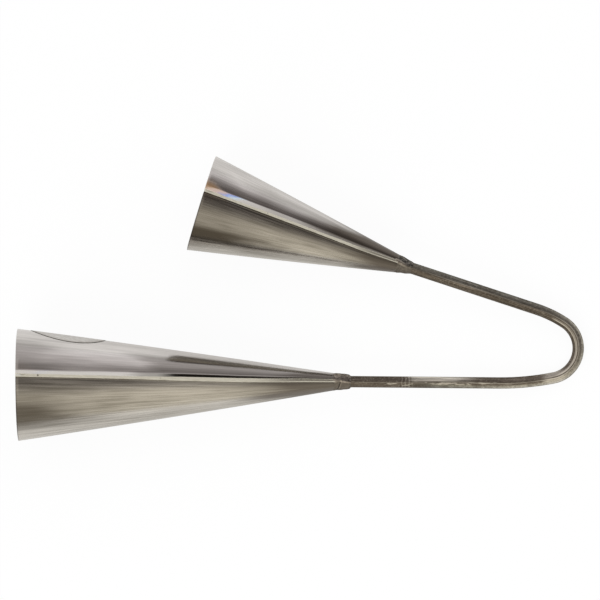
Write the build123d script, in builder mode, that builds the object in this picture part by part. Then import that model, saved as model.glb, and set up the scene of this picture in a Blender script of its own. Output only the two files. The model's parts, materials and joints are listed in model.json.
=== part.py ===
# Double agogo bell: two conical sheet-steel bells welded to the ends of one bent steel rod.
# Millimetres. The bell lies at rest: a lip of each mouth and the rod's bow touch the plane Z = 0.
# X runs along the long bell towards the bow, Y towards the small bell, Z up.
from build123d import *
from math import cos, radians, sin, sqrt
import os

# Sheet that both bells are pressed from
sheet = 1.2

# Long bell, outside sizes
long_mouth_radius = 34.5
long_cone_length = 195.0
long_neck_ease = 0.45       # play between the cone's narrow end and the rod
long_seam_roll = 11.0       # seam plane turned about the bell's axis, in degrees

# Small bell, outside sizes
small_mouth_radius = 30.2
small_cone_length = 126.0
small_neck_ease = 0.85
small_seam_roll = 16.0

# Lips that turn outwards along both seams of a bell
mouth_flare = 1.5           # bend radius at the mouth
neck_flare = 0.15           # the bend dies away towards the neck
mouth_lip = 0.9             # flat of the lip past its bend, at the mouth
neck_lip = 0.2
bend_bite = 0.05            # foot of the bend inside the cone's wall

# Groove along the lips' edges, and the weld run that fills it
groove_land = 0.4           # edge of each sheet left beside the groove
groove_depth = 0.3          # from the sheets' edges to the bottom of the groove
bead_crown = 0.15
bead_clearance = 0.05       # run over the groove's floor
bead_setback = 4.0          # from the mouth to the start of the run

# Necks: a weld collar closes each cone on to the rod
socket_clearance = 0.05
collar_step = 0.1           # collar over the cone's narrow end
collar_length = 9.5
long_collar_taper = 0.0     # radius that each collar loses towards the rod
small_collar_taper = 1.9
rod_reach = 8.0             # rod inside each cone

# Rod, one round bar bent in one plane, turns in degrees
rod_diameter = 7.0
long_set_turn = -1.05       # slight set of each leg where it leaves its collar
small_set_turn = 1.0
lower_leg_length = 91.0
heel_radius = 168.0
heel_turn = 11.6
bow_radius = 18.7
bow_turn = 135.8
shoulder_radius = 73.5
shoulder_turn = 14.9
upper_leg_length = 80.6

rod_radius = rod_diameter / 2
socket_radius = rod_radius + socket_clearance
long_neck_radius = socket_radius + sheet + long_neck_ease
small_neck_radius = socket_radius + sheet + small_neck_ease
groove_half = sheet - groove_land
bow_normal = Vector(0, 0, 1)


# Rod's centre line in the bow's own plane, from inside the long bell to inside the small one
with BuildLine() as rod_line:
    long_socket = Line((long_cone_length - rod_reach, 0), (long_cone_length + collar_length, 0))
    lower_leg = PolarLine(long_socket @ 1, lower_leg_length, long_set_turn)
    heel = JernArc(lower_leg @ 1, lower_leg % 1, heel_radius, heel_turn)
    bow_bend = JernArc(heel @ 1, heel % 1, bow_radius, bow_turn)
    shoulder = JernArc(bow_bend @ 1, bow_bend % 1, shoulder_radius, shoulder_turn)
    upper_leg = Line(shoulder @ 1, shoulder @ 1 + (shoulder % 1) * upper_leg_length)
    small_axis = (upper_leg % 1).rotate(Axis.Z, small_set_turn)
    small_socket = Line(upper_leg @ 1, upper_leg @ 1 + small_axis * (collar_length + rod_reach))


def lip_edge(radius, flare, lip):
    """Distance from a bell's axis to the edge of its lips."""
    return radius + flare + lip


def bell_plane(mouth, axis, seam_roll):
    """Plane of a mouth in the bow's frame: local X to the far seam, local Z to the neck."""
    across = bow_normal.cross(axis)
    far_seam = across * -sin(radians(seam_roll)) - bow_normal * cos(radians(seam_roll))
    return Plane(origin=mouth, x_dir=far_seam, z_dir=axis)


def lip_foot(mouth_plane, mouth_radius):
    """Corner of the far lips that touches the surface the bell lies on."""
    edge = lip_edge(mouth_radius, mouth_flare, mouth_lip)
    return mouth_plane.origin + mouth_plane.x_dir * edge + mouth_plane.y_dir * sheet


def mouth_reach(mouth_plane, mouth_radius, direction):
    """How far a mouth, lips included, reaches along a direction."""
    edge = lip_edge(mouth_radius, mouth_flare, mouth_lip)
    rim = mouth_radius * sqrt(1 - mouth_plane.z_dir.dot(direction) ** 2)
    lips = edge * abs(mouth_plane.x_dir.dot(direction)) + sheet * abs(mouth_plane.y_dir.dot(direction))
    return mouth_plane.origin.dot(direction) + max(rim, lips)


# Both mouths in the bow's frame: the small bell points back along the rod's last run
small_mouth = small_socket @ 0 + small_axis * (collar_length + small_cone_length)
long_plane = bell_plane(Vector(0, 0, 0), long_socket % 1, long_seam_roll)
small_plane = bell_plane(small_mouth, small_axis * -1, small_seam_roll)

# Rest on three feet: a lip of each mouth, and the underside of the bow
long_foot = lip_foot(long_plane, long_mouth_radius)
small_foot = lip_foot(small_plane, small_mouth_radius)
up = bow_normal
downhill = long_socket % 1
for settling in range(12):
    bow_foot = bow_bend.center_point + downhill * bow_radius - up * rod_radius
    up = (bow_foot - long_foot).cross(small_foot - long_foot).normalized()
    downhill = Vector(-up.X, -up.Y, 0).normalized()

# Frame of the resting bell, with its origin under the middle of the whole
along = ((long_socket % 1) - up * up.dot(long_socket % 1)).normalized()
aside = up.cross(along)
bow_tip = bow_bend.center_point.dot(along) + bow_radius * sqrt(1 - along.Z ** 2) + rod_radius
middle_along = (bow_tip - mouth_reach(long_plane, long_mouth_radius, along * -1)) / 2
long_side = mouth_reach(long_plane, long_mouth_radius, aside * -1)
middle_aside = (mouth_reach(small_plane, small_mouth_radius, aside) - long_side) / 2
rest_origin = along * middle_along + aside * middle_aside + up * up.dot(long_foot)
settle = Plane(origin=rest_origin, x_dir=along, z_dir=up).location.inverse()
long_plane = Plane(settle * long_plane.location)
small_plane = Plane(settle * small_plane.location)


def lip_section(plane, radius, flare, lip):
    """One lip of a half shell, from inside the wall round its bend to an edge bevelled for the weld."""
    edge = lip_edge(radius, flare, lip)
    bend_y = sheet + flare
    bend_x = sqrt(radius ** 2 - bend_y ** 2) - bend_bite
    crook = flare * (1 - sqrt(0.5))
    with BuildSketch(plane) as section:
        with BuildLine():
            Polyline(
                (bend_x, bend_y),
                (bend_x + crook, sheet + crook),
                (bend_x + flare, sheet),
                (edge, sheet),
                (edge, groove_half),
                (edge - groove_depth, 0),
                (radius - sheet / 2, 0),
                (radius - sheet / 2, bend_y),
                close=True,
            )
        make_face()
    return section.sketch


def bead_section(plane, radius, flare, lip):
    """Weld that fills the groove between two lips, with a low crown."""
    edge = lip_edge(radius, flare, lip) + bead_clearance
    with BuildSketch(plane) as section:
        with BuildLine():
            Polyline((edge, groove_half), (edge - groove_depth, 0), (edge, -groove_half))
            ThreePointArc((edge, -groove_half), (edge + bead_crown, 0), (edge, groove_half))
        make_face()
    return section.sketch


def seam_ends(section, mouth_plane, mouth_radius, neck_radius, cone_length):
    """A section's sketches at the two ends of a seam."""
    neck_plane = mouth_plane.offset(cone_length)
    return [
        section(mouth_plane, mouth_radius, mouth_flare, mouth_lip),
        section(neck_plane, neck_radius, neck_flare, neck_lip),
    ]


def seam_plane(mouth_plane):
    """Plane through a bell's axis and its seams: local X to the far seam, local Y to the neck."""
    return Plane(origin=mouth_plane.origin, x_dir=mouth_plane.x_dir, z_dir=mouth_plane.y_dir * -1)


def half_shell(mouth_plane, mouth_radius, neck_radius, cone_length):
    """One pressed half of a bell: a half cone with a lip along each seam."""
    axis = Axis(mouth_plane.origin, mouth_plane.z_dir)
    middle_plane = Plane(origin=mouth_plane.origin, z_dir=mouth_plane.x_dir)
    with BuildPart() as shell:
        with BuildSketch(seam_plane(mouth_plane)):
            with BuildLine():
                Polyline(
                    (mouth_radius, 0),
                    (neck_radius, cone_length),
                    (neck_radius - sheet, cone_length),
                    (mouth_radius - sheet, 0),
                    close=True,
                )
            make_face()
        revolve(axis=axis, revolution_arc=180)
        lip_ends = seam_ends(lip_section, mouth_plane, mouth_radius, neck_radius, cone_length)
        far_lip = loft(lip_ends, ruled=True)
        mirror(far_lip, about=middle_plane)
    return shell


def seam_weld(mouth_plane, mouth_radius, neck_radius, cone_length):
    """Weld run along one seam, from near the mouth to the neck."""
    with BuildPart() as weld:
        bead_ends = seam_ends(bead_section, mouth_plane, mouth_radius, neck_radius, cone_length)
        loft(bead_ends, ruled=True)
        split(bisect_by=mouth_plane.offset(bead_setback), keep=Keep.TOP)
    return weld


def neck_weld(mouth_plane, neck_radius, collar_taper, cone_length):
    """Weld collar against the cone's narrow end, round the rod."""
    collar_end = cone_length + collar_length
    collar_radius = neck_radius + collar_step
    with BuildPart() as weld:
        with BuildSketch(seam_plane(mouth_plane)):
            with BuildLine():
                Polyline(
                    (socket_radius, cone_length),
                    (collar_radius, cone_length),
                    (collar_radius - collar_taper, collar_end),
                    (socket_radius, collar_end),
                    close=True,
                )
            make_face()
        revolve(axis=Axis(mouth_plane.origin, mouth_plane.z_dir))
    return weld


os.makedirs("parts", exist_ok=True)

# Each bell: two half shells, a weld along each seam and a weld collar at the neck
bells = {
    "long_bell": (
        long_plane, long_mouth_radius, long_neck_radius, long_cone_length, long_collar_taper,
    ),
    "small_bell": (
        small_plane, small_mouth_radius, small_neck_radius, small_cone_length, small_collar_taper,
    ),
}
for bell, (mouth_plane, mouth_radius, neck_radius, cone_length, collar_taper) in bells.items():
    turned_plane = Plane(mouth_plane.location * Rotation(0, 0, 180))
    upper_shell = half_shell(mouth_plane, mouth_radius, neck_radius, cone_length)
    lower_shell = half_shell(turned_plane, mouth_radius, neck_radius, cone_length)
    far_weld = seam_weld(mouth_plane, mouth_radius, neck_radius, cone_length)
    near_weld = seam_weld(turned_plane, mouth_radius, neck_radius, cone_length)
    collar = neck_weld(mouth_plane, neck_radius, collar_taper, cone_length)
    pieces = {
        "upper_shell": upper_shell,
        "lower_shell": lower_shell,
        "near_seam_weld": near_weld,
        "far_seam_weld": far_weld,
        "neck_weld": collar,
    }
    for piece_name, piece in pieces.items():
        piece.part.label = f"{bell}_{piece_name}"
        export_step(piece.part, f"parts/{bell}_{piece_name}.step")

# Rod swept along its centre line
with BuildPart() as handle_rod:
    rod_path = settle * rod_line.wire()
    with BuildSketch(Plane(origin=rod_path @ 0, z_dir=rod_path % 0)):
        Circle(rod_radius)
    sweep(path=rod_path, transition=Transition.RIGHT)
handle_rod.part.label = "handle_rod"
export_step(handle_rod.part, "parts/handle_rod.step")
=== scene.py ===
import json
from math import atan2, cos, exp, pi, radians, remainder, sin, sqrt

import bpy
from mathutils import Matrix, Vector, noise


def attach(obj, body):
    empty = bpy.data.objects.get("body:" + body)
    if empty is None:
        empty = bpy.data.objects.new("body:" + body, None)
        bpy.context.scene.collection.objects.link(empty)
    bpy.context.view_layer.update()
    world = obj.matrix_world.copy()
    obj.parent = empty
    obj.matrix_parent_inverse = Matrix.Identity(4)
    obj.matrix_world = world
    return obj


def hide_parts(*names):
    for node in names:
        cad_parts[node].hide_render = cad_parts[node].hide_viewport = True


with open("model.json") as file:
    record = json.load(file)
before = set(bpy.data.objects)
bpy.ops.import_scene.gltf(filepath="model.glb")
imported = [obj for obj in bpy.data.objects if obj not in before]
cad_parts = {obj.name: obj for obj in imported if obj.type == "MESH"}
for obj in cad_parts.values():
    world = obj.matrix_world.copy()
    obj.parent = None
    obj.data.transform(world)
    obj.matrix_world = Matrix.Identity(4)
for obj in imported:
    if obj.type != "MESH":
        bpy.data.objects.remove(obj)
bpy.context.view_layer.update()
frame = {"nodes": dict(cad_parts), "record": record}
print("frame loaded:", len(frame["nodes"]), "nodes")

# sizes that several pieces share, in mm
mm = 0.001
sheet = 1.2         # wall of both bells
collarLength = 9.5  # weld collar past the end of each cone
rodReach = 8.0      # rod inside each cone
meshing = {"mergeWithin": 0.001, "smoothAngle": 38.0}   # mm and degrees


# mesh helpers
def pressBlank(name, columns, rows, form):
    # a flat blank, one unit square, is pressed point by point into its form
    bpy.ops.object.select_all(action="DESELECT")
    bpy.ops.mesh.primitive_grid_add(x_subdivisions=columns, y_subdivisions=rows, size=1, calc_uvs=True)
    piece = bpy.context.object
    piece.name = name
    piece.data.name = name
    for vert in piece.data.vertices:
        vert.co = form(vert.co.x + 0.5, vert.co.y + 0.5) * mm
    return piece


def closeSeams():
    bpy.ops.object.mode_set(mode="EDIT")
    bpy.ops.mesh.select_all(action="SELECT")
    bpy.ops.mesh.remove_doubles(threshold=meshing["mergeWithin"] * mm)
    bpy.ops.mesh.normals_make_consistent(inside=False)
    bpy.ops.object.mode_set(mode="OBJECT")


def applyModifier(piece, kind, **settings):
    bpy.ops.object.modifier_add(type=kind)
    modifier = piece.modifiers[-1]
    for key, value in settings.items():
        setattr(modifier, key, value)
    bpy.ops.object.modifier_apply(modifier=modifier.name)


def dress(piece, *materials):
    for material in materials:
        piece.data.materials.append(material)


def finishPiece(piece, node):
    bpy.ops.object.shade_smooth_by_angle(angle=radians(meshing["smoothAngle"]))
    if node:
        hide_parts(node)
    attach(piece, "root")
    print("made", piece.name, len(piece.data.polygons), "faces")


def between(first, second, share):
    return first + (second - first) * share


def clamped(value):
    return min(1.0, max(0.0, value))


def follow(profile, at):
    # a value read off a list of places and values, straight from one to the next
    for (start, first), (end, second) in zip(profile, profile[1:]):
        if at <= end:
            return between(first, second, max(0.0, at - start) / (end - start))
    return profile[-1][1]


# node helpers
def opaque(color):
    return (*color, 1.0)


def addNode(tree, kind, inputs=None, **settings):
    # adds a shader node and gives its outputs
    node = tree.nodes.new("ShaderNode" + kind)
    for key, value in settings.items():
        setattr(node, key, value)
    for socket, value in (inputs or {}).items():
        if isinstance(value, bpy.types.NodeSocket):
            tree.links.new(value, node.inputs[socket])
        else:
            isColor = node.inputs[socket].type == "RGBA"
            node.inputs[socket].default_value = opaque(value) if isColor else value
    return node.outputs


# sums on sockets find the tree that their socket is in
def calc(operation, first, second=0.0):
    tree = (first if isinstance(first, bpy.types.NodeSocket) else second).id_data
    return addNode(tree, "Math", {0: first, 1: second}, operation=operation)[0]


def times(first, second):
    return calc("MULTIPLY", first, second)


def plus(first, second):
    return calc("ADD", first, second)


def noiseAt(place, scale, detail, rough=0.5):
    inputs = {"Vector": place, "Scale": scale, "Detail": detail, "Roughness": rough}
    return addNode(place.id_data, "TexNoise", inputs)[0]


def ease(value, low, high, start=0.0, end=1.0):
    # a smooth step from low to high, with what it gives at each
    inputs = {0: value, 1: low, 2: high, 3: start, 4: end}
    return addNode(value.id_data, "MapRange", inputs, interpolation_type="SMOOTHSTEP")[0]


def within(value, riseFrom, riseTo, fallFrom, fallTo, before=0.0):
    # 1 between a rising and a falling step
    return times(ease(value, riseFrom, riseTo, before, 1.0), ease(value, fallFrom, fallTo, 1.0, 0.0))


def mix(factor, first, second):
    inputs = {0: factor, 6: first, 7: second}
    return addNode(factor.id_data, "Mix", inputs, data_type="RGBA")[2]


def ramp(value, stops):
    result = addNode(value.id_data, "ValToRGB", {0: value})[0]
    elements = result.node.color_ramp.elements
    while len(elements) < len(stops):
        elements.new(0.5)
    for element, (place, color) in zip(elements, stops):
        element.position = place
        element.color = opaque(color)
    return result


def gray(level):
    return (level, level, level)


def newGroup(name, inputs, outputs):
    # sockets named Vector or Color hold those, all others a number
    tree = bpy.data.node_groups.new(name, "ShaderNodeTree")
    for way, sockets in (("INPUT", inputs), ("OUTPUT", outputs)):
        for socket in sockets:
            kind = socket if socket in ("Vector", "Color") else "Float"
            tree.interface.new_socket(socket, in_out=way, socket_type="NodeSocket" + kind)
    return tree, tree.nodes.new("NodeGroupInput").outputs, tree.nodes.new("NodeGroupOutput").inputs


def useGroup(tree, group, inputs):
    return addNode(tree, "Group", inputs, node_tree=group)


def newMaterial(name, **constants):
    material = bpy.data.materials.new(name)
    material.use_nodes = True
    tree = material.node_tree
    shader = tree.nodes["Principled BSDF"]
    for socket, value in constants.items():
        shader.inputs[socket].default_value = value
    return material, tree, shader.inputs


def objectPlace(tree):
    return addNode(tree, "TexCoord")["Object"]


def blankPlace(tree):
    # the blank's own map, and its shares across and along
    uv = addNode(tree, "UVMap", uv_map="UVMap")[0]
    return uv, addNode(tree, "SeparateXYZ", {0: uv})


def coat(shader, color, rough):
    color.id_data.links.new(color, shader["Base Color"])
    rough.id_data.links.new(rough, shader["Roughness"])


def addBump(shader, height, strength, depth):
    bump = {"Strength": strength, "Distance": depth * mm, "Height": height}
    height.id_data.links.new(addNode(height.id_data, "Bump", bump)[0], shader["Normal"])


# shared finishes
# grinding marks that run along a surface whose first coordinate goes across it
brushing = {
    "layers": {"Fine": (1.0, 1.0, 4.0), "Broad": (0.09, 0.45, 3.0)},    # shares across and along, detail
    "rough": 0.62, "contrast": (0.32, 0.68),
}


def makeBrushGroup():
    tree, given, out = newGroup("brushMarks", ("Vector", "Across", "Along", "Seed"), ("Fine", "Broad"))
    parts = addNode(tree, "SeparateXYZ", {0: given["Vector"]})
    for layer, (acrossShare, alongShare, detail) in brushing["layers"].items():
        across = times(times(parts[0], given["Across"]), acrossShare)
        along = times(times(parts[1], given["Along"]), alongShare)
        place = addNode(tree, "CombineXYZ", {0: across, 1: along, 2: given["Seed"]})[0]
        marks = noiseAt(place, 1.0, detail, brushing["rough"])
        tree.links.new(ease(marks, *brushing["contrast"]), out[layer])
    return tree


# cloudy handling marks over a whole piece, and small specks: scale, detail and roughness of each
smudging = {
    "cloud": (1.0, 4.0, 0.6), "cloudContrast": (0.35, 0.7),
    "speck": (22.0, 2.0, 0.5), "speckContrast": (0.66, 0.74),
}


def makeSmudgeGroup():
    tree, given, out = newGroup("handlingSmudge", ("Vector", "Size"), ("Smudge", "Speck"))
    scaled = {0: given["Vector"], "Scale": given["Size"]}
    place = addNode(tree, "VectorMath", scaled, operation="SCALE")[0]
    cloud = noiseAt(place, *smudging["cloud"])
    speck = noiseAt(place, *smudging["speck"])
    tree.links.new(ease(cloud, *smudging["cloudContrast"]), out["Smudge"])
    tree.links.new(ease(speck, *smudging["speckContrast"]), out["Speck"])
    return tree


# temper colours beside a weld: straw by the mouth, then rose, blue and pale
tempering = {
    "driftScale": 260.0, "driftDetail": 2.0, "drift": 0.24, "start": 0.10,
    "aside": -0.5,      # browner away from the seam
    "stops": [
        (0.0, (0.36, 0.21, 0.10)),
        (0.10, (0.60, 0.44, 0.34)),
        (0.32, (0.62, 0.46, 0.42)),
        (0.46, (0.46, 0.40, 0.52)),
        (0.57, (0.22, 0.34, 0.80)),
        (0.74, (0.55, 0.66, 0.76)),
        (1.0, (0.62, 0.62, 0.60)),
    ],
    "narrowing": (0.1, 0.6, 1.0, 0.72), "edge": (0.72, 1.0, 1.0, 0.0), "fade": (0.7, 1.0, 1.0, 0.0),
}


def makeTemperGroup():
    tree, given, out = newGroup("temperColours", ("Reach", "Seam", "Width", "Vector"), ("Color", "Mask"))
    drift = noiseAt(given["Vector"], tempering["driftScale"], tempering["driftDetail"])
    aside = calc("DIVIDE", given["Seam"], given["Width"])
    reach = plus(given["Reach"], times(plus(drift, -0.5), tempering["drift"]))
    reach = plus(plus(reach, tempering["start"]), times(aside, tempering["aside"]))
    narrow = times(given["Width"], ease(given["Reach"], *tempering["narrowing"]))
    beside = ease(calc("DIVIDE", given["Seam"], narrow), *tempering["edge"])
    fade = ease(reach, *tempering["fade"])
    tree.links.new(ramp(reach, tempering["stops"]), out["Color"])
    tree.links.new(times(beside, fade), out["Mask"])
    return tree


brushGroup = makeBrushGroup()
smudgeGroup = makeSmudgeGroup()
temperGroup = makeTemperGroup()
print("shared finishes ready")


def brushAt(uv, look, seed):
    inputs = {"Vector": uv, "Across": look["across"], "Along": look["along"], "Seed": seed}
    return useGroup(uv.id_data, brushGroup, inputs)


def smudgeAt(place, size):
    return useGroup(place.id_data, smudgeGroup, {"Vector": place, "Size": size})


# bells: sizes in mm, marks in shares from the mouth to the neck, or across from the blank's edge
# burn is start, end and share; mouthShade is share, start and end, and shadeAcross its level at the
# seam and where it rises and falls; seamShade is share, start, full, and where it fades across
bells = {
    "long_bell": {
        "mouthRadius": 34.5, "neckRadius": 5.2, "length": 195.0, "seamRoll": 11.0, "belly": 0.46,
        "rows": 96, "temper": 0.08, "reach": 2.6,
        "sag": [(0.0, 0.6), (0.13, 0.8), (0.33, 1.0), (0.51, 1.2), (0.7, 1.35), (0.8, 1.05), (0.9, 0.55),
                (1.0, 0.3)],
        "lipThick": [(0.0, 1.0), (0.15, 0.85), (0.38, 0.85), (0.52, 1.2), (0.72, 1.25), (1.0, 0.9)],
        "burn": {"upper": (0.93, 1.03, 0.65), "lower": (0.68, 0.87, 0.86)},
        "mouthShade": {"upper": (0.40, 0.04, 0.26), "lower": (0.85, 0.04, 0.42)},
        "shadeAcross": {"upper": (1.0, 0.0, 0.01, 0.25, 0.34), "lower": (0.45, 0.22, 0.275, 0.335, 0.44)},
        "seamShade": {"upper": (0.50, 0.36, 0.46, 0.255, 0.30), "lower": (0.45, 0.13, 0.05, 0.17, 0.215)},
        "fold": 0.25, "flangeBurn": 0.2, "flangeShade": 0.95, "flange": (0.70, 0.68, 0.655),
    },
    "small_bell": {
        "mouthRadius": 30.2, "neckRadius": 5.6, "length": 126.0, "seamRoll": 16.0, "belly": 0.30,
        "rows": 72, "temper": 0.9, "reach": 3.0,
        "sag": [(0.0, 1.35), (0.15, 1.5), (0.8, 1.45), (1.0, 0.5)],
        "lipThick": [(0.0, 0.95), (0.15, 0.7), (0.6, 0.75), (0.85, 0.95), (1.0, 0.85)],
        "burn": {"upper": (0.60, 0.82, 0.96), "lower": (0.66, 0.90, 0.90)},
        "mouthShade": {"upper": (0.10, 0.04, 0.20), "lower": (1.0, 0.12, 0.62)},
        "shadeAcross": {"upper": (1.0, 0.0, 0.01, 0.25, 0.34), "lower": (0.55, 0.29, 0.33, 0.37, 0.42)},
        "seamShade": {"upper": (0.37, 0.12, 0.38, 0.265, 0.315), "lower": (0.46, -1.0, -0.5, 0.215, 0.27)},
        "fold": 0.45, "flangeBurn": 0.75, "flangeShade": 0.0, "flange": (0.70, 0.665, 0.645),
    },
}
longBell = bells["long_bell"]
smallBell = bells["small_bell"]

lip = {
    "neckReach": 0.35, "reachHold": 2.5,    # lip past the wall, held until near the neck
    "fullThick": 1.4,                       # thickness where the wall's weight is 1
    "upperLean": 44.0, "lowerLean": 90.0, "upperBend": 0.8, "lowerBend": 0.4, "bendMost": 0.4,
    "flatColumns": 4, "bendColumns": 6, "wallColumns": 52,
    "bevel": 0.16, "bevelSegments": 2, "bevelAngle": 50.0,
}
lipColumns = 2 * (lip["flatColumns"] + lip["bendColumns"]) + lip["wallColumns"]
flatShare = lip["flatColumns"] / lipColumns
bendShare = lip["bendColumns"] / lipColumns
wallFrom = flatShare + bendShare

# rod: lengths and radii in mm, turns in degrees, and the steps of each bend
rod = {
    "radius": 3.5,
    "runs": [
        ("straight", rodReach + collarLength), ("set", -1.05), ("straight", 91.0),
        ("bend", 168.0, 11.6, 8), ("bend", 18.7, 135.8, 44), ("bend", 73.5, 14.9, 8),
        ("straight", 80.6), ("set", 1.0), ("straight", collarLength + rodReach),
    ],
    "sides": 40, "offsetWeight": 0.01,     # weight that picks between stretches end to end
}


# the rod is walked in its own plane: X along the long bell from its mouth, Z square to the bow
def headingAt(degrees):
    return Vector((cos(radians(degrees)), sin(radians(degrees)), 0.0))


def walkRod():
    place = headingAt(0) * (longBell["length"] - rodReach)
    heading = 0.0
    travelled = 0.0
    stretches = []
    for kind, *sizes in rod["runs"]:
        if kind == "set":
            heading += sizes[0]
            continue
        stretch = {"kind": kind, "from": place, "heading": heading, "start": travelled}
        if kind == "straight":
            stretch["length"] = sizes[0]
            place = place + headingAt(heading) * sizes[0]
        else:
            radius, turn, steps = sizes
            center = place + headingAt(heading + 90) * radius
            heading += turn
            place = center - headingAt(heading + 90) * radius
            stretch["length"] = radius * radians(turn)
            stretch.update(radius=radius, turn=turn, steps=steps, center=center)
        stretch["to"] = place
        travelled += stretch["length"]
        stretches.append(stretch)
    return stretches, heading


rodStretches, rodEndHeading = walkRod()
gripRun = rodStretches[1]
bowBend = min((step for step in rodStretches if step["kind"] == "bend"), key=lambda step: step["radius"])


def findPlane():
    # where that plane lies: the frame's hook is the middle of the bow, its grip the rod's long straight
    mounts = {mount["name"]: mount for mount in frame["record"]["mounts"]}
    hook = mounts["bow_hook"]
    square = Vector(hook["axis"]).normalized()
    back = Matrix.Rotation(radians(-gripRun["heading"]), 3, square)
    along = back @ Vector(mounts["rod_grip"]["axis"])
    aside = square.cross(along).normalized()
    turn = Matrix((aside.cross(square), aside, square)).transposed()
    return turn, Vector(hook["pos_m"]) / mm - turn @ bowBend["center"]


bowTurn, bowShift = findPlane()


def bowPoint(point):
    return bowTurn @ point + bowShift


def setBell(bell, mouth, axis):
    square = bowTurn.col[2]
    roll = radians(bell["seamRoll"])
    far = -square.cross(axis) * sin(roll) - square * cos(roll)
    bell.update({"mouth": mouth, "axis": axis, "far": far, "upper": axis.cross(far)})


smallAxis = bowTurn @ -headingAt(rodEndHeading)
smallSocket = bowPoint(rodStretches[-1]["from"])
setBell(longBell, bowShift, bowTurn @ headingAt(0))
setBell(smallBell, smallSocket - smallAxis * (collarLength + smallBell["length"]), smallAxis)
print("small bell's mouth at", [round(value, 3) for value in smallBell["mouth"]])


def bellPoint(bell, x, y, along):
    return bell["mouth"] + bell["far"] * x + bell["upper"] * y + bell["axis"] * along


def bellRadius(bell, share):
    straight = between(bell["mouthRadius"], bell["neckRadius"], share)
    return straight + 4 * bell["belly"] * share * (1 - share)


def lipEdge(bell, share):
    return bellRadius(bell, share) + between(bell["reach"], lip["neckReach"], share ** lip["reachHold"])


def halfSection(bell, half, across, share):
    # outside of a half bell at one station: lip, bend, wall, and the same mirrored
    if across > 0.5:
        x, y = halfSection(bell, half, 1 - across, share)
        return -x, y
    radius = bellRadius(bell, share)
    lean = radians(lip[half + "Lean"])
    # the halves meet a little under the plane of the axis
    level = follow(bell["sag"], share) * (-1 if half == "upper" else 1)
    edge = Vector((lipEdge(bell, share), level + follow(bell["lipThick"], share)))
    inward = Vector((-sin(lean), cos(lean)))
    # where the lip's slope meets the round wall
    toward = -edge.dot(inward)
    slope = toward - sqrt(toward ** 2 - edge.length_squared + radius ** 2)
    corner = edge + inward * slope
    bend = min(lip[half + "Bend"], lip["bendMost"] * slope)
    rise = atan2(corner.y, corner.x) + bend / radius
    if across < flatShare:
        return edge + inward * (slope - bend) * (across / flatShare)
    if across < wallFrom:
        step = (across - flatShare) / bendShare
        first = corner - inward * bend
        last = Vector((cos(rise), sin(rise))) * radius
        return first.lerp(corner, step).lerp(corner.lerp(last, step), step)
    turn = between(rise, pi / 2, (across - wallFrom) / (0.5 - wallFrom))
    return Vector((cos(turn), sin(turn))) * radius


# finish of the shells; nearEdge is the blank's edge at the near seam, where the temper colours lie
shell = {
    # painted light: the upper half's lighter, pinker grays and the lower half's darker, warmer ones are
    # one steel, as lit from above and from below
    "upper": {
        "dark": (0.56, 0.54, 0.53), "light": (0.82, 0.795, 0.78), "rough": 0.13, "spread": 0.05,
        "across": 80.0, "along": 4.0, "bump": 0.05, "nearEdge": 1.0, "temper": 1.0,
        "seamLead": 0.15, "flangePaintedShade": 0.0, "rim": 0.0,
    },
    "lower": {
        "dark": (0.33, 0.31, 0.275), "light": (0.72, 0.69, 0.64), "rough": 0.20, "spread": 0.09,
        "across": 115.0, "along": 4.5, "bump": 0.10, "nearEdge": 0.0, "temper": 0.1,
        "seamLead": 0.05, "flangePaintedShade": 1.0, "rim": 0.6,
    },
    "fineGrain": 0.62, "broadGrain": 0.38, "smudgeSize": 34.0, "ragged": 0.12, "seedStep": 3.7,
    "leadWidth": 0.17, "flangeFade": 0.5, "flangeShare": 0.8, "lowerFlangeShade": (0.30, 0.27, 0.23),
    "shadeRise": (0.43, 0.50), "shadeFade": (0.60, 0.90, 1.0, 0.75),
    "foldFade": 0.6, "foldWidth": 0.018, "foldAlong": (0.5, 0.85),
    "lip": (0.63, 0.595, 0.49), "lipWidth": 0.12, "lipShare": 0.85, "lipRough": 0.5, "lipMetal": 0.35,
    "temperReach": 26.0, "temperWidth": 0.19, "temperMetal": 0.45,
    "patina": (0.140, 0.121, 0.104), "paintedShade": (0.10, 0.086, 0.070),
    "shadow": (0.035, 0.031, 0.028), "rimWidth": 0.9,
    "smudgeRough": 0.04, "patinaRough": 0.12, "bumpDepth": 0.06,
}


def sheetMarks(tree, half, seed):
    # what the finish of a half bell follows
    look = shell[half]
    uv, parts = blankPlace(tree)
    place = objectPlace(tree)
    brush = brushAt(uv, look, seed)
    smudge = smudgeAt(place, shell["smudgeSize"])
    fromEdge = calc("SUBTRACT", 0.5, calc("ABSOLUTE", plus(parts[0], -0.5)))
    return {
        "across": parts[0], "along": parts[1], "place": place, "fromEdge": fromEdge,
        "fine": brush["Fine"], "broad": brush["Broad"], "smudge": smudge["Smudge"],
        "ragged": plus(parts[1], times(plus(brush["Broad"], -0.5), shell["ragged"])),
        "flange": ease(fromEdge, flatShare, flatShare + bendShare * shell["flangeFade"], 1.0, 0.0),
    }


def addPatina(steel, marks, bell, half):
    # browned by the heat of the welds at the neck, sooner beside the seam
    start, end, share = bell["burn"][half]
    lead = ease(marks["fromEdge"], wallFrom, wallFrom + shell["leadWidth"], shell[half]["seamLead"], 0.0)
    patina = ease(plus(marks["ragged"], lead), start, end, 0.0, share)
    # painted light: the upper flange is lighter, as a painted reflection, and the lower flange darker, as
    # painted shade under the lips
    paintedFlangeLight = bell["flange"] if half == "upper" else shell["lowerFlangeShade"]
    steel = mix(times(marks["flange"], shell["flangeShare"]), steel, paintedFlangeLight)
    browned = times(patina, ease(marks["flange"], 0.0, 1.0, 1.0, bell["flangeBurn"]))
    return mix(browned, steel, shell["patina"]), patina


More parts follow.
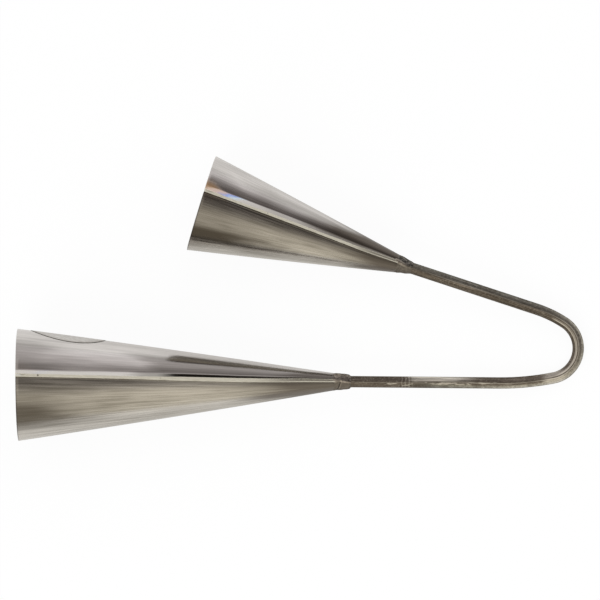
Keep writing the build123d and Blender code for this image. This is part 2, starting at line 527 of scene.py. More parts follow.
def addPaintedShade(steel, marks, bell, half):
    # painted shade by the mouth and beside the seam, for the dark things the steel mirrors there; beside
    # the small bell's lower seam it is partly a darker finish
    share, start, end = bell["mouthShade"][half]
    seamLevel, *slopes = bell["shadeAcross"][half]
    paintedShade = times(ease(marks["ragged"], start, end, share, 0.0),
                    within(marks["fromEdge"], *slopes, before=seamLevel))
    onFlange = shell[half]["flangePaintedShade"]
    paintedShade = times(paintedShade, ease(marks["flange"], 0.0, 1.0, 1.0, onFlange))
    share, start, full, fadeFrom, fadeTo = bell["seamShade"][half]
    seamShade = times(ease(marks["fromEdge"], fadeFrom, fadeTo, share, 0.0),
                      ease(marks["ragged"], start, full))
    steel = mix(calc("MAXIMUM", paintedShade, seamShade), steel, shell["paintedShade"])
    if half == "upper" and bell["flangeShade"]:
        # from its middle on, the flange lies in the shade of the other bell
        shaded = times(ease(marks["along"], *shell["shadeRise"]),
                       ease(marks["along"], *shell["shadeFade"]))
        shaded = times(times(marks["flange"], shaded), bell["flangeShade"])
        steel = mix(shaded, steel, shell["shadow"])
    if half == "lower":
        # painted shade in the fold under the lips
        fold = within(marks["fromEdge"], flatShare, flatShare + bendShare * shell["foldFade"],
                      wallFrom, wallFrom + shell["foldWidth"])
        fold = times(fold, ease(marks["along"], *shell["foldAlong"], bell["fold"], 0.0))
        steel = mix(fold, steel, shell["shadow"])
    return steel


def bellRough(marks, look, patina, bright):
    smoothest, roughest = look["rough"] - look["spread"] / 2, look["rough"] + look["spread"]
    rough = ease(marks["fine"], 0.0, 1.0, smoothest, roughest)
    rough = plus(rough, times(marks["smudge"], shell["smudgeRough"]))
    rough = plus(rough, times(patina, shell["patinaRough"]))
    return plus(rough, times(bright, shell["lipRough"] - look["rough"]))


def makeBellSteel(name, bell, half, seed):
    look = shell[half]
    material, tree, shader = newMaterial(name)
    marks = sheetMarks(tree, half, seed)
    grain = plus(times(marks["fine"], shell["fineGrain"]), times(marks["broad"], shell["broadGrain"]))
    steel = mix(grain, look["dark"], look["light"])
    steel, patina = addPatina(steel, marks, bell, half)
    steel = addPaintedShade(steel, marks, bell, half)

    temper = useGroup(tree, temperGroup, {
        "Reach": times(marks["along"], bell["length"] / shell["temperReach"]),
        "Seam": calc("ABSOLUTE", plus(marks["across"], -look["nearEdge"])),
        "Width": shell["temperWidth"], "Vector": marks["place"]})
    tint = times(temper["Mask"], bell["temper"] * look["temper"])
    steel = mix(tint, steel, temper["Color"])

    # a thin dark line along the rim of the mouth
    rim = ease(marks["along"], 0.0, shell["rimWidth"] / bell["length"], look["rim"], 0.0)
    steel = mix(rim, steel, shell["shadow"])

    # the lips' edges are ground back to bright metal with the weld
    bright = ease(marks["fromEdge"], 0.0, flatShare * shell["lipWidth"], 1.0, 0.0)
    steel = mix(times(bright, shell["lipShare"]), steel, shell["lip"])
    metal = times(ease(bright, 0.0, 1.0, 1.0, shell["lipMetal"]),
                  ease(tint, 0.0, 1.0, 1.0, shell["temperMetal"]))
    tree.links.new(metal, shader["Metallic"])
    coat(shader, steel, bellRough(marks, look, patina, bright))
    addBump(shader, marks["fine"], look["bump"], shell["bumpDepth"])
    return material


inside = {
    "dark": (0.47, 0.45, 0.42), "light": (0.70, 0.68, 0.65), "smudge": (0.33, 0.285, 0.24),
    "smudgeShare": 0.45, "smudgeSize": 60.0, "across": 180.0, "along": 5.0, "seed": 9.0,
    "metal": 0.4, "rough": (0.36, 0.5),
}


def makeInsideSteel():
    material, tree, shader = newMaterial("bellInside", Metallic=inside["metal"])
    brush = brushAt(blankPlace(tree)[0], inside, inside["seed"])
    smudge = smudgeAt(objectPlace(tree), inside["smudgeSize"])
    steel = mix(brush["Broad"], inside["dark"], inside["light"])
    steel = mix(times(smudge["Smudge"], inside["smudgeShare"]), steel, inside["smudge"])
    coat(shader, steel, ease(brush["Fine"], 0.0, 1.0, *inside["rough"]))
    return material


insideSteel = makeInsideSteel()


def makeShell(bellName, half, seed):
    bell = bells[bellName]
    side = 1 if half == "upper" else -1

    def form(across, share):
        x, y = halfSection(bell, half, across, share)
        return bellPoint(bell, side * x, side * y, share * bell["length"])

    piece = pressBlank(f"{bellName}_{half}_shell_sheet", lipColumns, bell["rows"], form)
    dress(piece, makeBellSteel(f"{bellName}_{half}_steel", bell, half, seed), insideSteel)
    wall = piece.vertex_groups.new(name="wall")
    for index in range(len(piece.data.vertices)):
        row, column = divmod(index, lipColumns + 1)
        fromEdge = min(column, lipColumns - column) / lipColumns
        lipThick = follow(bell["lipThick"], row / bell["rows"])
        thick = between(lipThick, sheet, clamped((fromEdge - flatShare) / bendShare))
        wall.add([index], thick / lip["fullThick"], "REPLACE")
    applyModifier(piece, "SOLIDIFY", thickness=lip["fullThick"] * mm, offset=-1.0, use_even_offset=True,
                  use_quality_normals=True, material_offset=1, vertex_group="wall")
    piece.vertex_groups.clear()
    applyModifier(piece, "BEVEL", width=lip["bevel"] * mm, segments=lip["bevelSegments"],
                  limit_method="ANGLE", angle_limit=radians(lip["bevelAngle"]))
    finishPiece(piece, f"{bellName}_{half}_shell")


for order, (bellName, half) in enumerate((name, half) for name in bells for half in ("upper", "lower")):
    makeShell(bellName, half, shell["seedStep"] * order)


# seam welds, ground nearly flush; pores are given by bell, place along it and radius, in mm
bead = {
    "overlap": 0.05, "depth": 0.4, "crown": 0.16, "setback": 4.0, "sides": 14, "rows": 240,
    "endShare": 0.025, "wander": 0.14, "wanderPitch": 0.35, "crownWander": 0.5, "crownPitch": 1.9,
    "seamApart": 4.0,   # so that both seams wander differently
    "thinFrom": 0.72, "thinTo": 0.90, "thin": 0.35,     # run sinks between the sheets towards the neck
    "dark": (0.50, 0.465, 0.375), "light": (0.70, 0.665, 0.56), "soot": (0.13, 0.11, 0.09),
    "across": 26.0, "along": 30.0, "seed": 2.0, "smudgeSize": 150.0, "metal": 0.35, "rough": (0.42, 0.58),
    "speckShare": 0.7, "sootShare": 0.8, "bump": 0.12, "bumpDepth": 0.1,
    "pores": [("long_bell", 13.6, 0.75), ("long_bell", 88.0, 0.4), ("small_bell", 41.0, 0.45)],
    "poreShare": 0.9, "poreRise": 0.2,
}


def makeWeldSteel():
    material, tree, shader = newMaterial("groundWeld", Metallic=bead["metal"])
    uv, parts = blankPlace(tree)
    place = objectPlace(tree)
    brush = brushAt(uv, bead, bead["seed"])
    smudge = smudgeAt(place, bead["smudgeSize"])
    steel = mix(brush["Fine"], bead["dark"], bead["light"])
    steel = mix(times(smudge["Speck"], bead["speckShare"]), steel, bead["soot"])
    sunk = ease(parts[1], bead["thinFrom"], bead["thinTo"], 0.0, bead["sootShare"])
    steel = mix(sunk, steel, bead["soot"])
    for bellName, along, radius in bead["pores"]:
        bell = bells[bellName]
        share = along / bell["length"]
        pore = bellPoint(bell, -lipEdge(bell, share), bead["poreRise"] - follow(bell["sag"], share), along)
        apart = addNode(tree, "VectorMath", {0: place, 1: pore * mm}, operation="DISTANCE")
        pit = ease(apart["Value"], radius * mm / 2, radius * mm, bead["poreShare"], 0.0)
        steel = mix(pit, steel, bead["soot"])
    coat(shader, steel, ease(smudge["Smudge"], 0.0, 1.0, *bead["rough"]))
    addBump(shader, brush["Fine"], bead["bump"], bead["bumpDepth"])
    return material


weldSteel = makeWeldSteel()


def makeBead(bellName, seam):
    bell = bells[bellName]
    length = bell["length"]
    side = 1 if seam == "far" else -1
    begin = bead["setback"] / length

    def form(around, run):
        swell = sin(pi / 2 * clamped(min(run, 1 - run) / bead["endShare"]))
        share = between(begin, 1.0, run)
        turn = around * 2 * pi
        spot = Vector((run * length * bead["wanderPitch"], side * bead["seamApart"], length))
        sunk = clamped((run - bead["thinFrom"]) / (bead["thinTo"] - bead["thinFrom"]))
        width = follow(bell["lipThick"], share) * between(1.0, bead["thin"], sunk) + bead["overlap"]
        width *= (1 + bead["wander"] * noise.noise(spot)) * swell
        lift = bead["depth"]
        if cos(turn) > 0:
            lift = bead["crown"] * (1 + bead["crownWander"] * noise.noise(spot * bead["crownPitch"]))
        out = lipEdge(bell, share) + lift * cos(turn) * swell
        rise = side * width * sin(turn) - follow(bell["sag"], share)
        return bellPoint(bell, side * out, rise, share * length)

    piece = pressBlank(f"{bellName}_{seam}_seam_bead", bead["sides"], bead["rows"], form)
    closeSeams()
    dress(piece, weldSteel)
    finishPiece(piece, f"{bellName}_{seam}_seam_weld")


for bellName in bells:
    for seam in ("near", "far"):
        makeBead(bellName, seam)


# weld collars at the necks: places in mm past the cone's end, marks in turns past the near seam, downwards
# profile is place and radius; lump is height, place, length and angle from the far seam in radians;
# notch is depth, start and slant; the crest's painted highlight is width, share and end
collar = {
    "sides": 72, "rows": 60, "begin": -2.0, "end": 9.5, "capShare": 0.02,
    "rough": 0.22, "roughPitch": 0.45, "creep": 0.45, "creepPitch": 0.6, "creepEnd": 2.0,
    "ridge": 0.45, "ridgeEnd": 9.0, "ridgeWidth": 0.20, "ridgeDrop": 0.035,
    "lumpSpread": 0.7, "notchWidth": 0.4, "notchEnd": 1.6,
    "long_bell": {
        "profile": [(-2.0, 5.30), (0.0, 5.26), (2.2, 5.0), (6.5, 4.75), (8.6, 4.35), (9.5, 3.6)],
        "lump": (0.15, 3.0, 2.4, 1.75), "notch": (0.40, 3.5, 1.6), "crestHighlight": (0.15, 0.85, 11.0),
        "dark": (0.155, 0.137, 0.122), "light": (0.41, 0.37, 0.325), "sootShare": 0.6,
    },
    "small_bell": {
        "profile": [(-2.0, 5.65), (0.0, 5.6), (2.2, 5.1), (6.0, 4.4), (8.5, 3.9), (9.5, 3.55)],
        "lump": (0.30, 3.2, 1.8, 1.6), "notch": (0.10, 2.4, 1.2), "crestHighlight": (0.34, 0.6, 7.0),
        "dark": (0.085, 0.08, 0.074), "light": (0.30, 0.285, 0.26), "sootShare": 0.9,
    },
    "smooth": (0.19, 0.17, 0.148), "smoothFrom": (0.0, 0.06, 0.0, 0.8),
    "fleckAndHighlight": (0.62, 0.56, 0.48), "soot": (0.03, 0.026, 0.024), "edgeTint": (0.30, 0.28, 0.25),
    "scaleSize": 520.0, "patchSize": 170.0, "scaleContrast": (0.15, 0.85), "patchLeast": 0.4,
    "aboveSeam": (-0.05, 0.03), "belowSeam": (0.025, 0.05), "belowShare": 0.2, "fleckShare": 0.8,
    "crestCore": 0.3, "crestFade": 3.0, "crestLeft": 0.15,
    "gapShade": (0.2, 0.5), "gapShare": 1.8, "ledgeHighlight": (0.05, 0.35), "ledgeShare": 0.6, "ledgePast": 0.6,
    "shine": (0.46, 0.36), "bump": 0.25, "bumpDepth": 0.15,
}


def paintCrestHighlight(steel, past, along, shape):
    # the lips' crest runs on over the weld, as a painted highlight
    width, share, end = shape["crestHighlight"]
    crestHighlight = plus(times(past, 2 * pi), times(along, -collar["ridgeDrop"]))
    crestHighlight = ease(calc("ABSOLUTE", crestHighlight), width * collar["crestCore"], width, share, 0.0)
    fade = ease(along, end - collar["crestFade"], end, 1.0, collar["crestLeft"])
    return mix(times(crestHighlight, fade), steel, collar["fleckAndHighlight"])


def addSheetEnd(steel, past, along, shape):
    # the sheet's end shows below the crest, with a painted highlight on its ledge and painted shade in its
    # gap
    depth, start, slant = shape["notch"]
    notch = plus(plus(along, -start), times(past, slant * 2 * pi))
    below = ease(past, *collar["belowSeam"])
    ledgeHighlight = calc("ABSOLUTE", plus(notch, -collar["ledgePast"]))
    ledgeHighlight = ease(ledgeHighlight, *collar["ledgeHighlight"], collar["ledgeShare"] * depth, 0.0)
    gapShade = ease(calc("ABSOLUTE", notch), *collar["gapShade"], collar["gapShare"] * depth, 0.0)
    steel = mix(times(below, ledgeHighlight), steel, collar["fleckAndHighlight"])
    return mix(times(below, gapShade), steel, collar["soot"])


def makeCollarSteel(bellName):
    shape = collar[bellName]
    material, tree, shader = newMaterial(bellName + "_collarWeld", Metallic=1.0)
    shader["Specular Tint"].default_value = opaque(collar["edgeTint"])
    parts = blankPlace(tree)[1]
    place = objectPlace(tree)
    smudge = smudgeAt(place, collar["scaleSize"])
    patches = smudgeAt(place, collar["patchSize"])
    past = plus(parts[0], -0.5)
    span = (collar["end"] - collar["begin"]) / (1 - 2 * collar["capShare"])
    along = plus(times(parts[1], span), collar["begin"] - collar["capShare"] * span)

    # lumpy scale above the near seam, smoother below it
    scale = times(ease(smudge["Smudge"], *collar["scaleContrast"]),
                  ease(patches["Smudge"], 0.0, 1.0, 1.0, collar["patchLeast"]))
    steel = mix(scale, shape["dark"], shape["light"])
    steel = mix(ease(past, *collar["smoothFrom"]), steel, collar["smooth"])
    spots = times(smudge["Speck"], ease(past, *collar["aboveSeam"], 1.0, collar["belowShare"]))
    steel = mix(times(spots, collar["fleckShare"]), steel, collar["fleckAndHighlight"])
    sooty = ease(past, *collar["aboveSeam"], shape["sootShare"], collar["belowShare"])
    steel = mix(times(patches["Speck"], sooty), steel, collar["soot"])
    steel = paintCrestHighlight(steel, past, along, shape)
    steel = addSheetEnd(steel, past, along, shape)
    coat(shader, steel, ease(smudge["Smudge"], 0.0, 1.0, *collar["shine"]))
    addBump(shader, smudge["Smudge"], collar["bump"], collar["bumpDepth"])
    return material


def makeCollar(bellName):
    bell = bells[bellName]
    shape = collar[bellName]
    height, middle, length, angle = shape["lump"]
    depth, start, slant = shape["notch"]

    def form(around, run):
        cap = collar["capShare"]
        along = between(collar["begin"], collar["end"], clamped((run - cap) / (1 - 2 * cap)))
        if run in (0.0, 1.0):
            return bellPoint(bell, 0, 0, bell["length"] + along)
        turn = around * 2 * pi
        base = follow(shape["profile"], along)
        # the lips' ridges run on over the collar, sinking as they go
        ridge = 0.0
        left = collar["ridge"] * max(0.0, 1 - max(0.0, along) / collar["ridgeEnd"])
        for seam in (0.0, pi + collar["ridgeDrop"] * max(0.0, along)):
            aside = remainder(turn - seam, 2 * pi) / collar["ridgeWidth"]
            ridge += left * exp(-(aside ** 4))
        lump = ((along - middle) / length) ** 2 + ((turn - angle) / collar["lumpSpread"]) ** 2
        lump = height * exp(-lump)
        # the lower half of the sheet ends in a slanting step
        notch = 0.0
        if pi < turn < collar["notchEnd"] * pi:
            edge = start - slant * (turn - pi)
            notch = depth * exp(-(((along - edge) / collar["notchWidth"]) ** 2))
        # spatter creeps up the cone here and there
        spot = bellPoint(bell, base * cos(turn), base * sin(turn), along) * collar["roughPitch"]
        creep = collar["creep"] * max(0.0, noise.noise(spot * collar["creepPitch"]))
        creep *= clamped(1 - along / collar["creepEnd"])
        radius = base + ridge + lump - notch + creep + collar["rough"] * noise.noise(spot)
        return bellPoint(bell, radius * cos(turn), radius * sin(turn), bell["length"] + along)

    piece = pressBlank(f"{bellName}_neck_collar", collar["sides"], collar["rows"], form)
    closeSeams()
    dress(piece, makeCollarSteel(bellName))
    finishPiece(piece, f"{bellName}_neck_weld")


for bellName in bells:
    makeCollar(bellName)


def rodTrace(point):
    # where a surface point lies: angle round the rod, and length along it, in mm
    local = bowTurn.transposed() @ (point / mm - bowShift)
    flat = Vector((local.x, local.y, 0.0))
    best = None
    for step in rodStretches:
        if step["kind"] == "straight":
            course = (step["to"] - step["from"]).normalized()
            travel = (flat - step["from"]).dot(course)
            offset = (flat - step["from"]).dot(Vector((-course.y, course.x, 0.0)))
        else:
            arm = flat - step["center"]
            first = step["from"] - step["center"]
            travel = atan2(first.cross(arm).z, first.dot(arm)) * step["radius"]
            offset = step["radius"] - arm.length
        miss = max(0.0, -travel, travel - step["length"]) + abs(offset) * rod["offsetWeight"]
        if best is None or miss < best[0]:
            best = (miss, step["start"] + travel, offset)
    return atan2(local.z, best[2]), best[1]


# finish of the bar: stretches are mm from its end inside the long bell, and bands go from the bow's
# outside (-1) to its inside (1), each with where a mark rises and falls; drawn and nick are noise, with
# scale round the rod and along it, detail and roughness
bar = {
    "inner": (0.086, 0.072, 0.060), "innerLight": (0.31, 0.268, 0.226),
    "outer": (0.120, 0.118, 0.106), "outerLight": (0.33, 0.322, 0.283),
    "bow": (0.47, 0.445, 0.375), "bowLight": (0.88, 0.845, 0.745),
    "grime": (0.09, 0.073, 0.058), "worn": (0.84, 0.80, 0.72), "grain": (0.46, 0.43, 0.375),
    "edgeTint": (0.30, 0.28, 0.25),
    "stretches": {
        "bow": (62, 122, 173, 208), "low": (80, 96, 133, 143), "worn": (50, 58, 78, 98),
        "patch": (134, 140, 145, 153), "rings": (46.5, 48.5, 54.5, 56.5), "nicks": (32, 40, 95, 125),
        "scratches": (143, 149, 191, 197),
    },
    "bands": {
        "highlightLine": (-0.20, -0.08, -0.06, 0.06), "nicks": (-0.75, -0.5, -0.1, 0.3),
        "scratches": (0.12, 0.28, 0.40, 0.62),
    },
    "brown": (45, 72), "border": (-0.25, 0.08), "lowBy": 0.4,
    "drawn": (8.0, 30.0, 5.0, 0.65), "drawnContrast": (0.34, 0.66),
    "smudgeSize": 95.0, "smudgeShare": 0.5,
    "grit": (650.0, 4.0, 0.7), "gritContrast": (0.36, 0.64), "gritShare": 0.5,
    "grains": (900.0, 3.0, 0.7), "grainContrast": (0.52, 0.70), "grainShare": 0.4,
    "lineShare": (0.0, 1.0, 0.35, 0.9),
    "wornBand": (0.0, 0.45), "wornDrawn": (0.05, 0.6), "patchShare": 0.6,
    "ringPitch": 2.2, "ringJitter": 2.2, "jitter": (420.0, 2.0), "ringDark": (0.0, 0.9, 0.0, 0.6),
    "ringDrawn": (0.1, 0.9, 1.0, 0.45), "ringPale": (-0.9, -0.2, 0.16, 0.0),
    "nick": (2.5, 160.0, 3.0, 0.5), "nickContrast": (0.58, 0.65), "nickShare": 0.6,
    "scratchDrawn": (0.1, 0.7, 0.25, 0.85),
    "rough": (0.42, 0.3), "smudgeRough": 0.06, "bump": 0.18, "bumpDepth": 0.1,
}


def rodNoise(axes, around, along, detail, rough):
    scaled = {0: times(axes[0], around), 1: times(axes[1], around), 2: times(axes[2], along)}
    place = addNode(axes[0].id_data, "CombineXYZ", scaled)[0]
    return noiseAt(place, 1.0, detail, rough)


def onStretch(axes, name):
    return within(axes[2], *[mark * mm for mark in bar["stretches"][name]])


def onBand(axes, name):
    return within(axes[0], *bar["bands"][name])


def rodSides(axes, draw):
    # brown inside, gray outside, and pale round the outside of the bow as a painted highlight
    inner = mix(draw, bar["inner"], bar["innerLight"])
    outer = mix(draw, bar["outer"], bar["outerLight"])
    bowHighlight = mix(draw, bar["bow"], bar["bowLight"])
    outer = mix(onStretch(axes, "bow"), outer, bowHighlight)
    brownFrom, brownTo = bar["brown"]
    outer = mix(ease(axes[2], brownFrom * mm, brownTo * mm, 1.0, 0.0), outer, inner)
    # the brown inner side reaches lower just before the bow
    lower = times(onStretch(axes, "low"), bar["lowBy"])
    return mix(ease(plus(axes[0], lower), *bar["border"]), outer, inner)


def addGrime(steel, place, smudge):
    # smudges, and scale in fine dark and pale grains
    steel = mix(times(smudge, bar["smudgeShare"]), steel, bar["grime"])
    grit = ease(noiseAt(place, *bar["grit"]), *bar["gritContrast"])
    steel = mix(times(grit, bar["gritShare"]), steel, bar["grime"])
    grains = ease(noiseAt(place, *bar["grains"]), *bar["grainContrast"])
    return mix(times(grains, bar["grainShare"]), steel, bar["grain"])


def addWear(steel, axes, draw):
    # a painted highlight: a fine bright line where the two sides of the bar meet
    highlightLine = times(onBand(axes, "highlightLine"), draw)
    highlightLine = times(highlightLine, ease(onStretch(axes, "bow"), *bar["lineShare"]))
    steel = mix(highlightLine, steel, bar["worn"])
    # a hand-worn stretch on the lower leg, and a patch where the bow begins
    worn = times(onStretch(axes, "worn"), ease(axes[0], *bar["wornBand"]))
    patch = times(onStretch(axes, "patch"), bar["patchShare"])
    worn = times(calc("MAXIMUM", worn, patch), ease(draw, *bar["wornDrawn"]))
    return mix(worn, steel, bar["worn"])


def addRings(steel, axes, draw, place):
    # grip rings at the start of the worn stretch
    onRings = onStretch(axes, "rings")
    jitter = times(noiseAt(place, *bar["jitter"]), bar["ringJitter"] * mm)
    turns = times(plus(axes[2], jitter), 2 * pi / (bar["ringPitch"] * mm))
    wave = calc("SINE", turns)
    rings = times(times(ease(wave, *bar["ringDark"]), onRings), ease(draw, *bar["ringDrawn"]))
    steel = mix(rings, steel, bar["grime"])
    pale = times(ease(wave, *bar["ringPale"]), onRings)
    return mix(pale, steel, bar["worn"])


def addScratches(steel, axes, draw):
    # bright nicks along the lower leg, and scratches along the inside of the bow
    nicks = ease(rodNoise(axes, *bar["nick"]), *bar["nickContrast"])
    nicks = times(times(nicks, onStretch(axes, "nicks")), onBand(axes, "nicks"))
    steel = mix(times(nicks, bar["nickShare"]), steel, bar["worn"])
    scratched = times(onStretch(axes, "scratches"), onBand(axes, "scratches"))
    scratched = times(scratched, ease(draw, *bar["scratchDrawn"]))
    return mix(scratched, steel, bar["worn"])


def makeRodSteel():
    material, tree, shader = newMaterial("drawnRod", Metallic=1.0)
    shader["Specular Tint"].default_value = opaque(bar["edgeTint"])
    place = objectPlace(tree)
    trace = addNode(tree, "Attribute", attribute_name="rodTrace")["Vector"]
    axes = addNode(tree, "SeparateXYZ", {0: trace})
    draw = ease(rodNoise(axes, *bar["drawn"]), *bar["drawnContrast"])
    smudge = smudgeAt(place, bar["smudgeSize"])["Smudge"]
    steel = addGrime(rodSides(axes, draw), place, smudge)
    steel = addWear(steel, axes, draw)
    steel = addRings(steel, axes, draw, place)
    steel = addScratches(steel, axes, draw)
    rough = plus(ease(draw, 0.0, 1.0, *bar["rough"]), times(smudge, bar["smudgeRough"]))
    coat(shader, steel, rough)
    addBump(shader, draw, bar["bump"], bar["bumpDepth"])
    return material


def makeRod():
    # a ring is drawn out along the straights and spun round the bends
    first = rodStretches[0]
    bpy.ops.object.select_all(action="DESELECT")
    turn = (bowTurn @ (first["to"] - first["from"])).to_track_quat("Z", "Y").to_euler()
    bpy.ops.mesh.primitive_circle_add(
        vertices=rod["sides"], radius=rod["radius"] * mm, fill_type="NGON", rotation=turn,
        location=bowPoint(first["from"]) * mm)
    piece = bpy.context.object
    piece.name = "handle_rod_bar"
    piece.data.name = piece.name
    bpy.ops.object.transform_apply(location=True, rotation=True, scale=True)
    bpy.ops.object.mode_set(mode="EDIT")
    bpy.ops.mesh.select_all(action="SELECT")
    for step in rodStretches:
        if step["kind"] == "straight":
            draw = (bowPoint(step["to"]) - bowPoint(step["from"])) * mm
            bpy.ops.mesh.extrude_region_move(TRANSFORM_OT_translate={"value": draw})
        else:
            bpy.ops.mesh.spin(steps=step["steps"], angle=-radians(step["turn"]),
                              center=bowPoint(step["center"]) * mm, axis=bowTurn.col[2])
    closeSeams()
    trace = piece.data.attributes.new("rodTrace", "FLOAT_VECTOR", "POINT")
    for vert, mark in zip(piece.data.vertices, trace.data):
        angle, travel = rodTrace(vert.co)
        mark.vector = (cos(angle), sin(angle), travel * mm)
    dress(piece, makeRodSteel())
    finishPiece(piece, "handle_rod")


makeRod()


# blank oval foil label, stuck on the long bell's upper side; sizes in mm, turns in degrees
label = {
    "middle": 31.0, "halfLength": 23.0, "halfWidth": 15.0, "angle": 101.0, "tilt": 4.0, "lift": 0.03,
    "thick": 0.10, "columns": 96, "rows": 24,
    "dark": (0.60, 0.58, 0.56), "light": (0.72, 0.71, 0.695),
    "mottle": (620.0, 3.0), "mottleContrast": (0.32, 0.68),
    "shade": (0.34, 0.305, 0.275), "shadeFrom": (0.80, 0.96, 0.0, 0.45),
    "rim": (0.12, 0.11, 0.10), "rimFrom": (0.962, 0.972), "smudgeSize": 300.0, "rough": (0.30, 0.42),
}


def makeFoil():
    material, tree, shader = newMaterial("labelFoil", Metallic=1.0)
    out = blankPlace(tree)[1][1]
    place = objectPlace(tree)
    smudge = smudgeAt(place, label["smudgeSize"])
    mottle = ease(noiseAt(place, *label["mottle"]), *label["mottleContrast"])
    foil = mix(mottle, label["dark"], label["light"])
    foil = mix(ease(out, *label["shadeFrom"]), foil, label["shade"])
    foil = mix(ease(out, *label["rimFrom"]), foil, label["rim"])
    coat(shader, foil, ease(smudge["Smudge"], 0.0, 1.0, *label["rough"]))
    return material


def makeLabel():
    def form(around, out):
        turn = around * 2 * pi
        tilt = radians(label["tilt"])
        length = label["halfLength"] * out * cos(turn)
        width = label["halfWidth"] * out * sin(turn)
        along = label["middle"] + length * cos(tilt) - width * sin(tilt)
        arc = length * sin(tilt) + width * cos(tilt)
        radius = bellRadius(longBell, along / longBell["length"]) + label["lift"]
        angle = radians(label["angle"]) + arc / radius
        return bellPoint(longBell, radius * cos(angle), radius * sin(angle), along)

    piece = pressBlank("long_bell_blank_label", label["columns"], label["rows"], form)
    closeSeams()
    middle = bellPoint(longBell, 0, 0, label["middle"]) * mm
    firstFace = piece.data.polygons[0]
    if (firstFace.center - middle).dot(firstFace.normal) < 0:
        piece.data.flip_normals()
    applyModifier(piece, "SOLIDIFY", thickness=label["thick"] * mm, offset=1.0)
    dress(piece, makeFoil())
    finishPiece(piece, None)


makeLabel()


# floor, light and camera
studio = {
    "floorSize": 24.0, "floorDrop": 0.0002, "floorGray": 0.92, "skyLevel": 0.75,
    "floorGlow": 0.93, "mirroredShare": 0.5,    # the floor as seen, and as mirrored
    "mirrored": (0.72, 0.69, 0.64),
}


def makeFloor():
    bpy.ops.object.select_all(action="DESELECT")
    bpy.ops.mesh.primitive_plane_add(size=studio["floorSize"], location=(0, 0, -studio["floorDrop"]))
    floor = bpy.context.object
    floor.name = "floor"
    material = bpy.data.materials.new("paleFloor")
    material.use_nodes = True
    tree = material.node_tree
    tree.nodes.clear()
    seen = addNode(tree, "LightPath")
    shown = calc("MAXIMUM", seen["Is Camera Ray"], seen["Is Transmission Ray"])
    share = plus(times(shown, studio["floorGlow"]),
                 times(seen["Is Glossy Ray"], studio["mirroredShare"]))
    color = mix(seen["Is Glossy Ray"], gray(1.0), studio["mirrored"])
    matte = addNode(tree, "BsdfDiffuse", {"Color": gray(studio["floorGray"])})[0]
    glow = addNode(tree, "Emission", {"Color": color, "Strength": 1.0})[0]
    both = addNode(tree, "MixShader", {0: share, 1: matte, 2: glow})
    addNode(tree, "OutputMaterial", {0: both[0]})
    dress(floor, material)


# what the steel mirrors: pale sides by their lean towards Y, in degrees, and a dark patch overhead
ceiling = {
    "sides": [
        (-180, (0.95, 0.95, 0.94)), (-94, (0.86, 0.82, 0.75)), (-84, (0.74, 0.695, 0.60)),
        (-60, (0.78, 0.73, 0.63)), (-27, (0.84, 0.785, 0.68)), (0, (0.70, 0.66, 0.60)),
        (45, (0.64, 0.605, 0.59)), (70, (0.72, 0.685, 0.675)), (92, (0.84, 0.82, 0.81)),
        (180, (0.95, 0.95, 0.94)),
    ],
    "dark": (0.15, 0.132, 0.125), "toward": (0.766, 0.220, 0.604), "inner": 22.0, "outer": 50.0,
    "second": 0.38, "onceDepth": 1.5,   # share lost past this depth, where things are mirrored twice
}


def mirroredBand(tree, depth):
    heading = addNode(tree, "TexCoord")["Generated"]
    aim = addNode(tree, "SeparateXYZ", {0: heading})
    lean = calc("ARCTAN2", aim[1], aim[2])
    band = ramp(plus(calc("DIVIDE", lean, 2 * pi), 0.5),
                [((degrees + 180) / 360, color) for degrees, color in ceiling["sides"]])
    toward = {0: heading, 1: ceiling["toward"]}
    facing = addNode(tree, "VectorMath", toward, operation="DOT_PRODUCT")["Value"]
    outer = cos(radians(ceiling["outer"]))
    inner = cos(radians(ceiling["inner"]))
    band = mix(ease(facing, outer, inner), band, ceiling["dark"])
    twice = calc("GREATER_THAN", depth, ceiling["onceDepth"])
    return mix(times(twice, ceiling["second"]), band, ceiling["dark"])


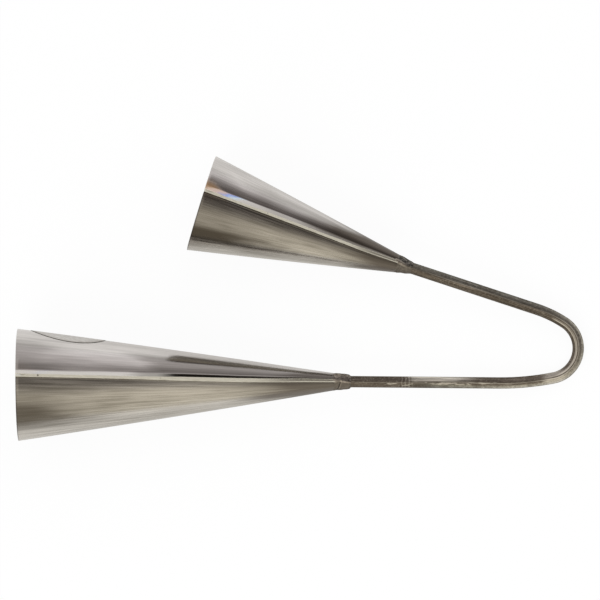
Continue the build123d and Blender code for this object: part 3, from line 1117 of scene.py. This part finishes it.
def makeWorld():
    world = bpy.data.worlds.new("studio")
    bpy.context.scene.world = world
    world.use_nodes = True
    tree = world.node_tree
    tree.nodes.clear()
    seen = addNode(tree, "LightPath")
    band = mirroredBand(tree, seen["Glossy Depth"])
    mirrored = calc("MAXIMUM", seen["Is Glossy Ray"], seen["Is Transmission Ray"])
    soft, sides, white = [
        addNode(tree, "Background", {"Color": color, "Strength": strength})[0]
        for color, strength in ((gray(1.0), studio["skyLevel"]), (band, 1.0), (gray(1.0), 1.0))]
    around = addNode(tree, "MixShader", {0: mirrored, 1: soft, 2: sides})[0]
    shown = addNode(tree, "MixShader", {0: seen["Is Camera Ray"], 1: around, 2: white})[0]
    addNode(tree, "OutputWorld", {0: shown})


# places and sizes in metres
lamps = {
    "keyLamp": {"place": (-0.7, -1.3, 1.5), "size": 1.4, "energy": 16.0},
    "fillLamp": {"place": (0.9, 1.2, 1.2), "size": 1.6, "energy": 8.0},
}


def makeLamps():
    for name, lamp in lamps.items():
        bpy.ops.object.light_add(type="AREA", location=lamp["place"])
        light = bpy.context.object
        light.name = name
        light.data.size = lamp["size"]
        light.data.energy = lamp["energy"]
        light.rotation_euler = (-Vector(lamp["place"])).to_track_quat("-Z", "Y").to_euler()
        light.visible_glossy = False


# the photograph's view: nearly square on to the bow's plane, from far off
camera = {
    "middle": (173.78, 50.51, 0.0), "distance": 3570.0, "roll": 0.54, "fieldWidth": 369.0,
    "sensorWidth": 36.0, "clipEnd": 60.0,   # millimetres and metres, as the camera has them
}


def makeCamera():
    bpy.ops.object.camera_add()
    viewer = bpy.context.object
    away = Vector((0.0, 0.0, camera["distance"]))
    place = bowPoint(Vector(camera["middle"]) + away) * mm
    turn = bowTurn @ Matrix.Rotation(radians(-camera["roll"]), 3, "Z")
    viewer.matrix_world = Matrix.Translation(place) @ turn.to_4x4()
    viewer.data.sensor_width = camera["sensorWidth"]
    viewer.data.lens = camera["sensorWidth"] * camera["distance"] / camera["fieldWidth"]
    viewer.data.clip_end = camera["clipEnd"]
    bpy.context.scene.camera = viewer


makeFloor()
makeWorld()
makeLamps()
makeCamera()
bpy.context.scene.view_settings.view_transform = "Standard"
print("studio ready")
